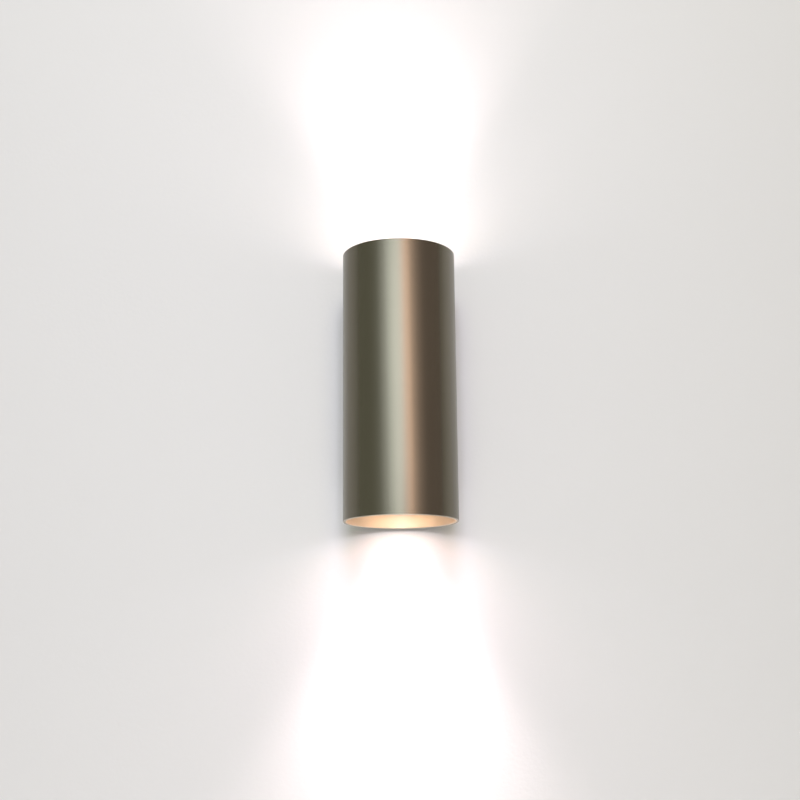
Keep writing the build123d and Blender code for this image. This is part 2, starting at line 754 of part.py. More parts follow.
base_inner_radius = bulb_base_diameter / 2 - bulb_base_wall
with BuildPart() as upper_bulb_base:
    with BuildSketch(Plane.XY.offset(bulb_foot_z)):
        with Locations((0, tube_axis_y)):
            Circle(bulb_base_diameter / 2)
    extrude(amount=bulb_neck_length)
    with BuildSketch(Plane.XY.offset(neck_z)):
        with Locations((0, tube_axis_y)):
            Circle(spigot_radius)
    extrude(amount=bulb_spigot_length)
    foot_edge = upper_bulb_base.edges().sort_by(Axis.Z)[0]
    chamfer(foot_edge, length=bulb_base_wall / 3)
    with BuildSketch(Plane.XY.offset(bulb_foot_z + bulb_base_floor)):
        with Locations((0, tube_axis_y)):
            Circle(base_inner_radius)
    extrude(amount=bulb_body_length, mode=Mode.SUBTRACT)
    with BuildSketch(Plane.XY.offset(bulb_foot_z)):
        with Locations((0, tube_axis_y)):
            with PolarLocations(pin_circle_radius, 2):
                Circle(pin_stem_diameter / 2 + press_play)
    extrude(amount=bulb_base_floor, mode=Mode.SUBTRACT)
write_piece(upper_bulb_base, "upper_bulb_base")
write_turned_over(upper_bulb_base, "lower_bulb_base")

with BuildPart() as upper_bulb_pins:
    with BuildSketch(Plane.XY.offset(pin_tip_z)):
        with Locations((0, tube_axis_y)):
            with PolarLocations(pin_circle_radius, 2):
                Circle(pin_stem_diameter / 2)
    extrude(amount=pin_length + bulb_base_floor)
    with BuildSketch(Plane.XY.offset(pin_tip_z)):
        with Locations((0, tube_axis_y)):
            with PolarLocations(pin_circle_radius, 2):
                Circle(pin_head_diameter / 2)
    extrude(amount=pin_head_height)
write_piece(upper_bulb_pins, "upper_bulb_pins")
write_turned_over(upper_bulb_pins, "lower_bulb_pins")

driver_foot_z = bulb_foot_z + bulb_base_floor + press_play
with BuildPart() as upper_bulb_driver:
    with BuildSketch(Plane.XY.offset(driver_foot_z)):
        with Locations((0, tube_axis_y)):
            Rectangle(driver_width, driver_thickness)
    extrude(amount=driver_height)
    part_offset = (driver_thickness + driver_part_diameter) / 2
    with BuildSketch(Plane.XY.offset(driver_foot_z + driver_height / 3)):
        with Locations((0, tube_axis_y + part_offset), (0, tube_axis_y - part_offset)):
            Circle(driver_part_diameter / 2)
            Rectangle(driver_part_diameter / 2, driver_part_diameter)
    extrude(amount=driver_part_height)
write_piece(upper_bulb_driver, "upper_bulb_driver")
write_turned_over(upper_bulb_driver, "lower_bulb_driver")

# ---------------------------------------------------------------- earth parts
collar_face_y = -bracket_thickness - earth_collar_height
ring_back_y = collar_face_y
washer_back_y = ring_back_y - ring_thickness
earth_head_y = washer_back_y - earth_washer_thickness

with BuildPart() as earth_ring_terminal:
    with BuildSketch(facing_room(earth_screw_x, ring_back_y, earth_screw_z)):
        Circle(ring_diameter / 2)
        Rectangle(
            ring_neck_width,
            ring_barrel_height + ring_barrel_diameter / 2,
            align=(Align.CENTER, Align.MIN),
        )
        Circle(earth_screw_diameter / 2 + screw_play, mode=Mode.SUBTRACT)
    extrude(amount=ring_thickness)
    barrel_z = earth_screw_z + ring_barrel_height
    with BuildSketch(facing_room(earth_screw_x, ring_back_y, barrel_z)):
        Circle(ring_barrel_diameter / 2)
    extrude(amount=ring_barrel_length)
    barrel_face_y = ring_back_y - ring_barrel_length
    with BuildSketch(facing_wall(earth_screw_x, barrel_face_y, barrel_z)):
        Circle(lead_diameter / 2 + seat_play)
    extrude(amount=ring_barrel_length - ring_thickness, mode=Mode.SUBTRACT)
write_piece(earth_ring_terminal, "earth_ring_terminal")

with BuildPart() as earth_washer:
    with BuildSketch(facing_room(earth_screw_x, washer_back_y, earth_screw_z)):
        Circle(earth_washer_diameter / 2)
        Circle(earth_screw_diameter / 2 + screw_play, mode=Mode.SUBTRACT)
    extrude(amount=earth_washer_thickness)
    with BuildSketch(facing_room(earth_screw_x, washer_back_y, barrel_z)):
        Circle(ring_barrel_diameter / 2 + screw_play)
    extrude(amount=earth_washer_thickness, mode=Mode.SUBTRACT)
write_piece(earth_washer, "earth_washer")

earth_screw = headed_screw(
    [facing_wall(earth_screw_x, earth_head_y, earth_screw_z)],
    earth_screw_diameter,
    -earth_head_y - saddle_lift,
    earth_screw_head,
    earth_screw_head_height,
)
write_piece(earth_screw, "earth_screw")

# ---------------------------------------------------------------- leads
# Points of each route, chosen by hand; the first and last lie on the terminals.
near_y = tube_axis_y + lead_offset
far_y = tube_axis_y - lead_offset
front_lead_y = block_middle_y - lead_pair_spacing / 2
back_lead_y = block_middle_y + lead_pair_spacing / 2
live_z = pole_heights[-1]
neutral_z = pole_heights[0]
turn_x = insert_face_x + lead_turn_reach
long_turn_x = insert_face_x + long_lead_turn_reach
ring_face_y = ring_back_y - ring_thickness
lead(
    [
        (earth_screw_x, ring_face_y, barrel_z),
        (earth_screw_x, ring_face_y - earth_lead_run, barrel_z),
        (earth_lead_side_x, -earth_lead_side_y, -earth_lead_side_z),
        (insert_face_x + earth_lead_turn_reach, block_middle_y, -earth_lead_turn_z),
        (insert_face_x, block_middle_y, 0),
    ],
    "earth_lead",
)
lead(
    [
        (tail_face_x, near_y, lead_exit_z),
        (lead_slot_x, near_y, lead_exit_z),
        (lead_slot_x, near_y - lead_drift, live_z),
        (turn_x, front_lead_y, live_z),
        (insert_face_x, front_lead_y, live_z),
    ],
    "upper_live_lead",
)
lead(
    [
        (tail_face_x - pin_spacing, near_y, -lead_exit_z),
        (lead_slot_x, near_y, -lead_exit_z),
        (lead_slot_x, near_y + long_lead_drift, -long_lead_knee_z),
        (lead_slot_x, near_y + long_lead_shift, live_z),
        (long_turn_x, back_lead_y, live_z),
        (insert_face_x, back_lead_y, live_z),
    ],
    "lower_live_lead",
)
lead(
    [
        (tail_face_x - pin_spacing, far_y, lead_exit_z),
        (lead_slot_x, far_y, lead_exit_z),
        (lead_slot_x, far_y - long_lead_drift, long_lead_knee_z),
        (lead_slot_x, far_y - long_lead_shift, neutral_z),
        (long_turn_x, front_lead_y, neutral_z),
        (insert_face_x, front_lead_y, neutral_z),
    ],
    "upper_neutral_lead",
)
lead(
    [
        (tail_face_x, far_y, -lead_exit_z),
        (lead_slot_x, far_y, -lead_exit_z),
        (lead_slot_x, far_y + lead_drift, neutral_z),
        (turn_x, back_lead_y, neutral_z),
        (insert_face_x, back_lead_y, neutral_z),
    ],
    "lower_neutral_lead",
)
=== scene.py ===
import json
import math

import bpy
from bpy.props import FloatProperty, FloatVectorProperty, IntProperty, PointerProperty
from mathutils import Matrix, Vector


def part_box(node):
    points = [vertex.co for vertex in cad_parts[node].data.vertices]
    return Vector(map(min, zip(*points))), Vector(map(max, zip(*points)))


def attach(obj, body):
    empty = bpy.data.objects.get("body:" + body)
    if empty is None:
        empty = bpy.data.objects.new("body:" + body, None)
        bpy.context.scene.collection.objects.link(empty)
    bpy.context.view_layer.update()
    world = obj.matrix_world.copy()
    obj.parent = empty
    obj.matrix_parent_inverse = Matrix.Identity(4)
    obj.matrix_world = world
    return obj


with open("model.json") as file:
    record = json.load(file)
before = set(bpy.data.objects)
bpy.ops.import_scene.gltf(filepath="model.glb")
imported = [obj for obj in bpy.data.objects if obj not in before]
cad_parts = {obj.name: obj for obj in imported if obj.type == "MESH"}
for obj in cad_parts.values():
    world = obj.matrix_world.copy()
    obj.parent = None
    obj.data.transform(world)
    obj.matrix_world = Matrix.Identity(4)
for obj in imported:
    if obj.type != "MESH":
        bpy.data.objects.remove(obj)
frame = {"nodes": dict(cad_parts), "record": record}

bl_info = {
    "name": "Tube wall light",
    "version": (1, 0, 0),
    "blender": (4, 5, 0),
    "location": "3D View > Sidebar > Wall light",
    "description": "Finishes, small repeated details and a studio wall for a tube wall light",
    "category": "Object",
}

MM = 0.001

# ------------------------------------------------------------ places read from the frame
tube_low, tube_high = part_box("outer_tube")
TUBE_RADIUS = (tube_high.x - tube_low.x) / 2
TUBE_AXIS_Y = (tube_low.y + tube_high.y) / 2
TUBE_TOP = tube_high.z
LENS_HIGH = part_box("upper_bulb_lens")[1]
HOUSING_LOW, HOUSING_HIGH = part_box("upper_bulb_housing")
ENDS = (("upper", 1), ("lower", -1))

# The mix node's colour sockets share their names with its other sockets, so they go by number.
COLOUR_FIRST, COLOUR_SECOND, COLOUR_MIXED = 6, 7, 2
GOLDEN_ANGLE = math.pi * (3 - math.sqrt(5))


def colour_property(name, description, default):
    """A colour that the user can change, linear red, green and blue."""
    return FloatVectorProperty(
        name=name, description=description, default=default, subtype="COLOR", size=3, min=0, max=1
    )


def length_property(name, description, default):
    """A length that the user can change, in metres."""
    return FloatProperty(
        name=name, description=description, default=default, subtype="DISTANCE", unit="LENGTH", precision=5
    )


# ------------------------------------------------------------ settings
class FinishSettings(bpy.types.PropertyGroup):
    """Colours of the surfaces, and the strength of the bulbs' glow."""

    bronze: colour_property("Bronze", "Outside of the tube", (0.205, 0.187, 0.142))
    # The inside's colour is a warmer bronze, and also paler than the outside as painted light of the bulbs'
    # glow on it.
    bronze_inside_with_painted_glow: colour_property("Bronze inside", "Inside of the tube", (0.64, 0.52, 0.40))
    # The turned rim's colour is kept paler than the tube, also as a painted highlight for the light its
    # face catches.
    bronze_rim_with_painted_highlight: colour_property("Bronze rim", "Turned edge at each end of the tube", (0.62, 0.56, 0.46))
    paint: colour_property("Saddle paint", "Powder coat of the rear saddle", (0.085, 0.072, 0.058))
    zinc: colour_property("Zinc", "Zinc-plated sheet", (0.62, 0.63, 0.64))
    ceramic: colour_property("Ceramic", "Unglazed lampholder", (0.80, 0.77, 0.70))
    nylon: colour_property("Nylon", "Terminal block", (0.82, 0.82, 0.78))
    brass: colour_property("Brass", "Contacts and inserts", (0.66, 0.50, 0.24))
    bulb: colour_property("Bulb plastic", "Housing and base of a bulb", (0.86, 0.86, 0.84))
    glow: colour_property("Glow", "Light of a bulb inside the bore", (1.0, 0.70, 0.43))
    glow_strength: FloatProperty(
        name="Glow strength", description="Radiance of a lens inside the bore, where 1 is white",
        default=5.4, min=0,
    )
    emitter_ring: length_property("Emitter ring", "Radius of the ring of emitters behind a lens", 10.0 * MM)


class BulbSettings(bpy.types.PropertyGroup):
    """Ribs on the side of a bulb's housing."""

    rib_count: IntProperty(name="Ribs", description="Ribs round one housing", default=30, min=3)
    rib_width: length_property("Rib width", "Width of one rib", 0.9 * MM)
    rib_depth: length_property("Rib depth", "Depth of one rib, half of it inside the housing", 1.4 * MM)
    neck_radius: length_property("Neck radius", "Housing where it meets the base", 14.5 * MM)
    shoulder_radius: length_property("Shoulder radius", "Housing just under its rim", 24.2 * MM)
    shoulder_drop: length_property("Shoulder drop", "From the lens face to the shoulder", 4.2 * MM)
    bulge: length_property("Bulge", "Rise of the housing's side over a straight line", 3.0 * MM)


class LensletSettings(bpy.types.PropertyGroup):
    """Small domes on the face of a bulb's lens."""

    count: IntProperty(name="Lenslets", description="Domes on one lens", default=127, min=1)
    pitch: length_property("Pitch", "Growth of the pattern; a dome has about pi times its square", 1.9 * MM)
    radius: length_property("Radius", "Radius of one dome", 1.55 * MM)
    rise: length_property("Rise", "Height of one dome above the lens", 0.4 * MM)


class ThreadSettings(bpy.types.PropertyGroup):
    """Threads on the two tube screws."""

    radius: length_property("Radius", "Radius of the screw's shank", 2.0 * MM)
    pitch: length_property("Pitch", "Distance between two turns", 0.7 * MM)
    ridge: length_property("Ridge", "Radius of the ridge's section", 0.22 * MM)


class StageSettings(bpy.types.PropertyGroup):
    """Wall, floor, lamps and camera."""

    wall: colour_property("Wall", "Painted wall", (0.80, 0.80, 0.79))
    floor: colour_property("Floor", "Plain floor", (0.80, 0.79, 0.77))
    room_left: colour_property("Room, left", "Light from the left half of the room", (0.36, 0.37, 0.31))
    room_right: colour_property("Room, right", "Light from the right half of the room", (0.37, 0.305, 0.28))
    matt_share: FloatProperty(
        name="Room on matt", description="Share of the room light on matt surfaces",
        default=0.45, min=0, max=1, subtype="FACTOR",
    )
    stipple: length_property("Stipple", "Distance between the bumps of the wall paint", 2.7 * MM)
    floor_height: length_property("Floor height", "Floor, below the middle of the light", -1.05)
    camera_place: FloatVectorProperty(
        name="Camera", description="Place of the camera",
        default=(0.0001, -0.8745, -0.194), subtype="TRANSLATION", unit="LENGTH", size=3,
    )
    camera_pitch: FloatProperty(
        name="Pitch", description="Camera tilted up",
        default=math.radians(12.5), subtype="ANGLE",
    )
    camera_roll: FloatProperty(
        name="Roll", description="Camera turned about its own view",
        default=math.radians(-0.545), subtype="ANGLE",
    )
    camera_lens: FloatProperty(
        name="Lens", description="Focal length in millimetres",
        default=58.24, min=1, subtype="DISTANCE_CAMERA",
    )


# ------------------------------------------------------------ material building
class Finish:
    """A material in the making: its shader, and the coordinates of the piece it is on.

    Roughness and metallic are the plain values, which most finishes then replace by a pattern.
    """

    def __init__(self, name, roughness, metallic=0.0):
        self.material = bpy.data.materials.new(name)
        self.material.use_nodes = True
        self.nodes = self.material.node_tree.nodes
        self.links = self.material.node_tree.links
        self.shader = self.nodes["Principled BSDF"]
        self.put("Metallic", metallic)
        self.put("Roughness", roughness)
        coordinates = self.nodes.new("ShaderNodeTexCoord")
        self.place = coordinates.outputs["Object"]
        self.facing = coordinates.outputs["Normal"]

    def join(self, value, socket):
        """Link an output to a socket, or write a plain value on it."""
        if isinstance(value, bpy.types.NodeSocket):
            self.links.new(value, socket)
        elif getattr(socket, "type", "") == "RGBA" and len(value) == 3:
            socket.default_value = (*value, 1.0)
        else:
            socket.default_value = value

    def put(self, name, value):
        """Set one socket of the shader."""
        self.join(value, self.shader.inputs[name])

    def stretched(self, stretch, centre=(0.0, 0.0, 0.0)):
        """The piece's coordinates, moved to a centre and then scaled along each axis."""
        moved = self.nodes.new("ShaderNodeVectorMath")
        moved.operation = "SUBTRACT"
        self.join(self.place, moved.inputs[0])
        self.join(centre, moved.inputs[1])
        scaled = self.nodes.new("ShaderNodeVectorMath")
        scaled.operation = "MULTIPLY"
        self.join(moved.outputs[0], scaled.inputs[0])
        self.join(stretch, scaled.inputs[1])
        return scaled.outputs[0]

    def noise(self, scale, stretch=(1.0, 1.0, 1.0), detail=3.0, rough=0.55):
        """Cloudy variation from 0 to 1; scale is in waves per metre."""
        texture = self.nodes.new("ShaderNodeTexNoise")
        self.join(self.stretched(stretch), texture.inputs["Vector"])
        self.join(scale, texture.inputs["Scale"])
        self.join(detail, texture.inputs["Detail"])
        self.join(rough, texture.inputs["Roughness"])
        return texture.outputs["Fac"]

    def cells(self, scale, feature="F1"):
        """Distance to the nearest of many scattered points, for specks and spangle."""
        texture = self.nodes.new("ShaderNodeTexVoronoi")
        texture.feature = feature
        self.join(self.place, texture.inputs["Vector"])
        self.join(scale, texture.inputs["Scale"])
        return texture.outputs["Distance"]

    def calc(self, operation, first, second=0.0):
        """One step of arithmetic."""
        step = self.nodes.new("ShaderNodeMath")
        step.operation = operation
        self.join(first, step.inputs[0])
        self.join(second, step.inputs[1])
        return step.outputs[0]

    def spread(self, factor, low, high, start=0.0, end=1.0):
        """Map a factor from start..end to low..high."""
        span = self.nodes.new("ShaderNodeMapRange")
        self.join(factor, span.inputs["Value"])
        self.join(start, span.inputs["From Min"])
        self.join(end, span.inputs["From Max"])
        self.join(low, span.inputs["To Min"])
        self.join(high, span.inputs["To Max"])
        return span.outputs["Result"]

    def blend(self, factor, first, second):
        """Mix two colours."""
        mix = self.nodes.new("ShaderNodeMix")
        mix.data_type = "RGBA"
        self.join(factor, mix.inputs[0])
        self.join(first, mix.inputs[COLOUR_FIRST])
        self.join(second, mix.inputs[COLOUR_SECOND])
        return mix.outputs[COLOUR_MIXED]

    def axes(self, vector):
        """The three parts of a vector."""
        parts = self.nodes.new("ShaderNodeSeparateXYZ")
        self.join(vector, parts.inputs[0])
        return parts.outputs

    def from_tube_axis(self):
        """Distance from the tube's axis."""
        length = self.nodes.new("ShaderNodeVectorMath")
        length.operation = "LENGTH"
        self.join(self.stretched((1.0, 1.0, 0.0), (0.0, TUBE_AXIS_Y, 0.0)), length.inputs[0])
        return length.outputs["Value"]

    def relief(self, height, depth):
        """Bumps of a real depth in metres."""
        bump = self.nodes.new("ShaderNodeBump")
        self.join(1.0, bump.inputs["Strength"])
        self.join(depth, bump.inputs["Distance"])
        self.join(height, bump.inputs["Height"])
        self.put("Normal", bump.outputs["Normal"])


def tinted(colour, factor):
    """A colour made lighter or darker."""
    return tuple(min(1.0, channel * factor) for channel in colour)


def bronze_finish(settings):
    """Satin bronze tube: fine grain round it, a turned rim painted paler, partly as a painted highlight,
    and a warmer inside painted paler, partly as the bulbs' painted glow.
    """
    rim_start, rim_full = TUBE_TOP - 0.45 * MM, TUBE_TOP - 0.25 * MM
    inside_full, inside_start = TUBE_RADIUS - 1.6 * MM, TUBE_RADIUS - 1.2 * MM
    inside_dullness, inside_metallic = 0.12, 0.5
    finish = Finish("bronze_tube", 0.24, 1.0)
    clouds = finish.noise(14.0, detail=4.0)
    grain = finish.noise(1.0, stretch=(10.0, 10.0, 1600.0), detail=4.0, rough=0.7)
    height = finish.calc("ABSOLUTE", finish.axes(finish.place)[2])
    rim = finish.spread(height, 0.0, 1.0, rim_start, rim_full)
    radius = finish.from_tube_axis()
    inside = finish.spread(radius, 1.0, 0.0, inside_full, inside_start)
    outer = finish.blend(clouds, tinted(settings.bronze, 0.93), tinted(settings.bronze, 1.07))
    # The inside's paler, warmer colour is its own finish and also the painted glow of the bulb's light on
    # it.
    inner_with_painted_glow = finish.blend(clouds, tinted(settings.bronze_inside_with_painted_glow, 0.9), tinted(settings.bronze_inside_with_painted_glow, 1.06))
    body = finish.blend(inside, outer, inner_with_painted_glow)
    # The rim takes a paler colour: a turned edge, and also a painted highlight for the light its face
    # catches.
    finish.put("Base Color", finish.blend(rim, body, tuple(settings.bronze_rim_with_painted_highlight)))
    satin = finish.calc("ADD", finish.spread(grain, 0.25, 0.28), finish.spread(clouds, -0.012, 0.012))
    finish.put("Roughness", finish.calc("ADD", satin, finish.spread(inside, 0.0, inside_dullness)))
    finish.put("Metallic", finish.spread(inside, 1.0, inside_metallic))
    finish.relief(grain, 0.003 * MM)
    return finish.material


def paint_finish(settings):
    """Dark bronze powder coat with its fine orange-peel skin."""
    finish = Finish("dark_bronze_paint", 0.5)
    dust = finish.noise(60.0, detail=4.0)
    peel = finish.noise(900.0, detail=2.0)
    finish.put("Base Color", finish.blend(dust, tinted(settings.paint, 0.8), tinted(settings.paint, 1.25)))
    finish.put("Roughness", finish.spread(peel, 0.42, 0.58))
    finish.put("Coat Weight", 0.12)
    finish.relief(peel, 0.02 * MM)
    return finish.material


def zinc_finish(settings):
    """Zinc-plated sheet: dull spangle, faint passivation tints and rolling lines."""
    finish = Finish("zinc_plate", 0.42, 1.0)
    spangle = finish.cells(240.0)
    clouds = finish.noise(45.0, detail=5.0)
    rolling = finish.noise(1.0, stretch=(900.0, 60.0, 60.0), detail=3.0)
    warm = (settings.zinc[0] * 1.04, settings.zinc[1], settings.zinc[2] * 0.9)
    cool = (settings.zinc[0] * 0.86, settings.zinc[1] * 0.9, settings.zinc[2] * 0.97)
    finish.put("Base Color", finish.blend(clouds, warm, cool))
    dull = finish.calc("ADD", finish.spread(spangle, 0.32, 0.46), finish.spread(clouds, -0.05, 0.08))
    finish.put("Roughness", dull)
    finish.relief(rolling, 0.008 * MM)
    return finish.material


def metal_finish(name, colour, roughness, wear=0.15):
    """Small metal pieces: turned or stamped, with fine scratches and uneven shine."""
    finish = Finish(name, roughness, 1.0)
    clouds = finish.noise(200.0, detail=4.0)
    scratches = finish.noise(500.0, stretch=(1.0, 1.0, 6.0), detail=5.0, rough=0.7)
    finish.put("Base Color", finish.blend(clouds, tinted(colour, 1 - wear), tinted(colour, 1 + wear / 2)))
    finish.put("Roughness", finish.spread(scratches, roughness * 0.7, roughness * 1.35))
    finish.relief(scratches, 0.006 * MM)
    return finish.material


def plastic_finish(name, colour, roughness, speck=0.04, soft=0.0):
    """Moulded pieces: fine skin, faint flow marks and, where soft is given, a little light inside."""
    finish = Finish(name, roughness)
    clouds = finish.noise(52.5, detail=4.0)
    skin = finish.noise(2100.0, detail=2.0)
    finish.put("Base Color", finish.blend(clouds, tinted(colour, 1 - speck), tinted(colour, 1 + speck / 2)))
    finish.put("Roughness", finish.spread(skin, roughness - 0.05, roughness + 0.07))
    finish.put("Subsurface Weight", soft)
    finish.put("Subsurface Scale", 0.5 * MM)
    finish.relief(skin, 0.01 * MM)
    return finish.material


def ceramic_finish(settings):
    """Unglazed steatite: warm white with small grey specks and a dry, slightly rough skin."""
    finish = Finish("white_ceramic", 0.62)
    specks = finish.spread(finish.cells(1400.0), 1.0, 0.0, 0.1, 0.22)
    clouds = finish.noise(90.0, detail=5.0)
    body = finish.blend(clouds, tinted(settings.ceramic, 0.93), tinted(settings.ceramic, 1.03))
    finish.put("Base Color", finish.blend(finish.calc("MULTIPLY", specks, 0.35), body, (0.45, 0.41, 0.35)))
    skin = finish.noise(2600.0, detail=3.0)
    finish.put("Roughness", finish.spread(skin, 0.55, 0.72))
    finish.relief(skin, 0.02 * MM)
    return finish.material


def sleeve_finish(name, colour, stripe=None):
    """Silicone sleeve of a lead; the earth lead has a stripe on its upper side."""
    finish = Finish(name, 0.45)
    clouds = finish.noise(220.0, detail=3.0)
    body = finish.blend(clouds, tinted(colour, 0.85), tinted(colour, 1.15))
    if stripe:
        upper_side = finish.spread(finish.axes(finish.facing)[2], 0.0, 1.0, 0.2, 0.3)
        body = finish.blend(upper_side, body, stripe)
    finish.put("Base Color", body)
    skin = finish.noise(1800.0, detail=2.0)
    finish.put("Roughness", finish.spread(skin, 0.38, 0.55))
    finish.relief(skin, 0.008 * MM)
    return finish.material


def lens_finish(settings):
    """Frosted lens, lit from inside: brightest over the ring of emitters, warmer at its edge."""
    emitters, edge_start, ring_width = 6.0, 0.55 * LENS_HIGH.x, 0.75 * settings.emitter_ring
    finish = Finish("bulb_lens", 0.4)
    radius = finish.from_tube_axis()
    edge = finish.spread(radius, 0.0, 1.0, edge_start, LENS_HIGH.x)
    off_ring = finish.calc("ABSOLUTE", finish.calc("SUBTRACT", radius, settings.emitter_ring))
    ring = finish.spread(off_ring, 1.0, 0.0, 0.0, ring_width)
    parts = finish.axes(finish.stretched((1.0, 1.0, 0.0), (0.0, TUBE_AXIS_Y, 0.0)))
    angle = finish.calc("ARCTAN2", parts[1], parts[0])
    waves = finish.calc("COSINE", finish.calc("MULTIPLY", angle, emitters))
    spots = finish.calc("MULTIPLY", ring, finish.spread(waves, 0.35, 1.0, -1.0, 1.0))
    frost = finish.noise(2200.0, detail=2.0)
    middle = finish.blend(spots, (0.86, 0.70, 0.50), (1.0, 0.93, 0.80))
    finish.put("Base Color", finish.blend(frost, (0.30, 0.29, 0.27), (0.36, 0.35, 0.33)))
    finish.put("Emission Color", finish.blend(edge, middle, (0.62, 0.42, 0.24)))
    finish.put("Emission Strength", 0.95)
    finish.put("Coat Weight", 0.4)
    finish.relief(frost, 0.01 * MM)
    return finish.material


def board_finish():
    """White solder mask with faint tracks, and yellow emitters on top of it."""
    finish = Finish("board_white", 0.4)
    tracks = finish.spread(finish.cells(260.0, "DISTANCE_TO_EDGE"), 1.0, 0.0, 0.05, 0.09)
    mask = finish.blend(finish.calc("MULTIPLY", tracks, 0.25), (0.84, 0.84, 0.82), (0.62, 0.66, 0.62))
    height = finish.calc("ABSOLUTE", finish.axes(finish.place)[2])
    board_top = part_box("upper_bulb_board")[1].z
    emitters = finish.spread(height, 0.0, 1.0, board_top - 0.7 * MM, board_top - 0.6 * MM)
    finish.put("Base Color", finish.blend(emitters, mask, (0.85, 0.62, 0.12)))
    skin = finish.noise(1500.0, detail=3.0)
    finish.put("Roughness", finish.spread(skin, 0.33, 0.5))
    finish.relief(skin, 0.01 * MM)
    return finish.material


def driver_finish():
    """Green circuit board with dark sleeved parts standing on both its faces."""
    finish = Finish("driver_green", 0.42)
    offset = finish.calc("ABSOLUTE", finish.calc("SUBTRACT", finish.axes(finish.place)[1], TUBE_AXIS_Y))
    parts = finish.spread(offset, 0.0, 1.0, 0.9 * MM, 1.0 * MM)
    clouds = finish.noise(300.0, detail=4.0)
    board = finish.blend(clouds, (0.035, 0.18, 0.09), (0.06, 0.28, 0.14))
    finish.put("Base Color", finish.blend(parts, board, (0.035, 0.035, 0.04)))
    finish.put("Roughness", finish.spread(clouds, 0.32, 0.52))
    finish.relief(finish.noise(1600.0), 0.02 * MM)
    return finish.material


def dress_slot(slot, material):
    """Give its material to every CAD node that the record puts in this slot."""
    for name in [part["node"] for part in frame["record"]["subparts"] if part["material_slot"] == slot]:
        places = frame["nodes"][name].material_slots
        if not places:
            raise ValueError(f"{name} has no material slot")
        for place in places:
            place.material = material


# ------------------------------------------------------------ Geometry Nodes building
class Growth:
    """A Geometry Nodes tree in the making, with named inputs and one mesh as its output."""

    def __init__(self, name, inputs):
        self.tree = bpy.data.node_groups.new(name, "GeometryNodeTree")
        interface = self.tree.interface
        self.identifiers = {}
        interface.new_socket(name="Geometry", in_out="INPUT", socket_type="NodeSocketGeometry")
        for label, kind in inputs.items():
            socket = interface.new_socket(name=label, in_out="INPUT", socket_type=f"NodeSocket{kind}")
            self.identifiers[label] = socket.identifier
        interface.new_socket(name="Geometry", in_out="OUTPUT", socket_type="NodeSocketGeometry")
        self.given = self.tree.nodes.new("NodeGroupInput").outputs
        self.result = self.tree.nodes.new("NodeGroupOutput").inputs

    def step(self, kind, settings=None, **inputs):
        """Add a node; a socket goes by its name, with spaces as underscores, or as _0, _1 by its number."""
        node = self.tree.nodes.new(kind)
        for name, value in (settings or {}).items():
            setattr(node, name, value)
        for name, value in inputs.items():
            key = int(name[1:]) if name[1:].isdigit() else name.replace("_", " ")
            socket = node.inputs[key]
            if isinstance(value, bpy.types.NodeSocket):
                self.tree.links.new(value, socket)
            else:
                socket.default_value = value
        return node.outputs

    def calc(self, operation, first, second):
        """One step of arithmetic."""
        return self.step("ShaderNodeMath", {"operation": operation}, _0=first, _1=second)[0]

    def vector(self, operation, first, second):
        """One step of vector arithmetic."""
        return self.step("ShaderNodeVectorMath", {"operation": operation}, _0=first, _1=second)[0]

    def finish(self, mesh):
        """End the tree in plain, dressed geometry."""
        plain = self.step("GeometryNodeRealizeInstances", Geometry=mesh)[0]
        dressed = self.step("GeometryNodeSetMaterial", Geometry=plain, Material=self.given["Material"])[0]
        self.tree.links.new(dressed, self.result["Geometry"])


def grow(name, growth, values, body, points=((0.0, 0.0, 0.0),)):
    """Run a tree on some points and keep its result as a plain mesh that rides on a body."""
    start = bpy.data.meshes.new(f"{name}_points")
    start.from_pydata(points, [], [])
    piece = bpy.data.objects.new(name, start)
    bpy.context.scene.collection.objects.link(piece)
    modifier = piece.modifiers.new("Growth", "NODES")
    modifier.node_group = growth.tree
    for label, value in values.items():
        modifier[growth.identifiers[label]] = value
    evaluated = piece.evaluated_get(bpy.context.evaluated_depsgraph_get())
    mesh = bpy.data.meshes.new_from_object(evaluated)
    piece.modifiers.clear()
    piece.data = mesh
    mesh.name = name
    bpy.data.meshes.remove(start)
    if not mesh.polygons:
        raise ValueError(f"{name} came out empty")
    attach(piece, body)


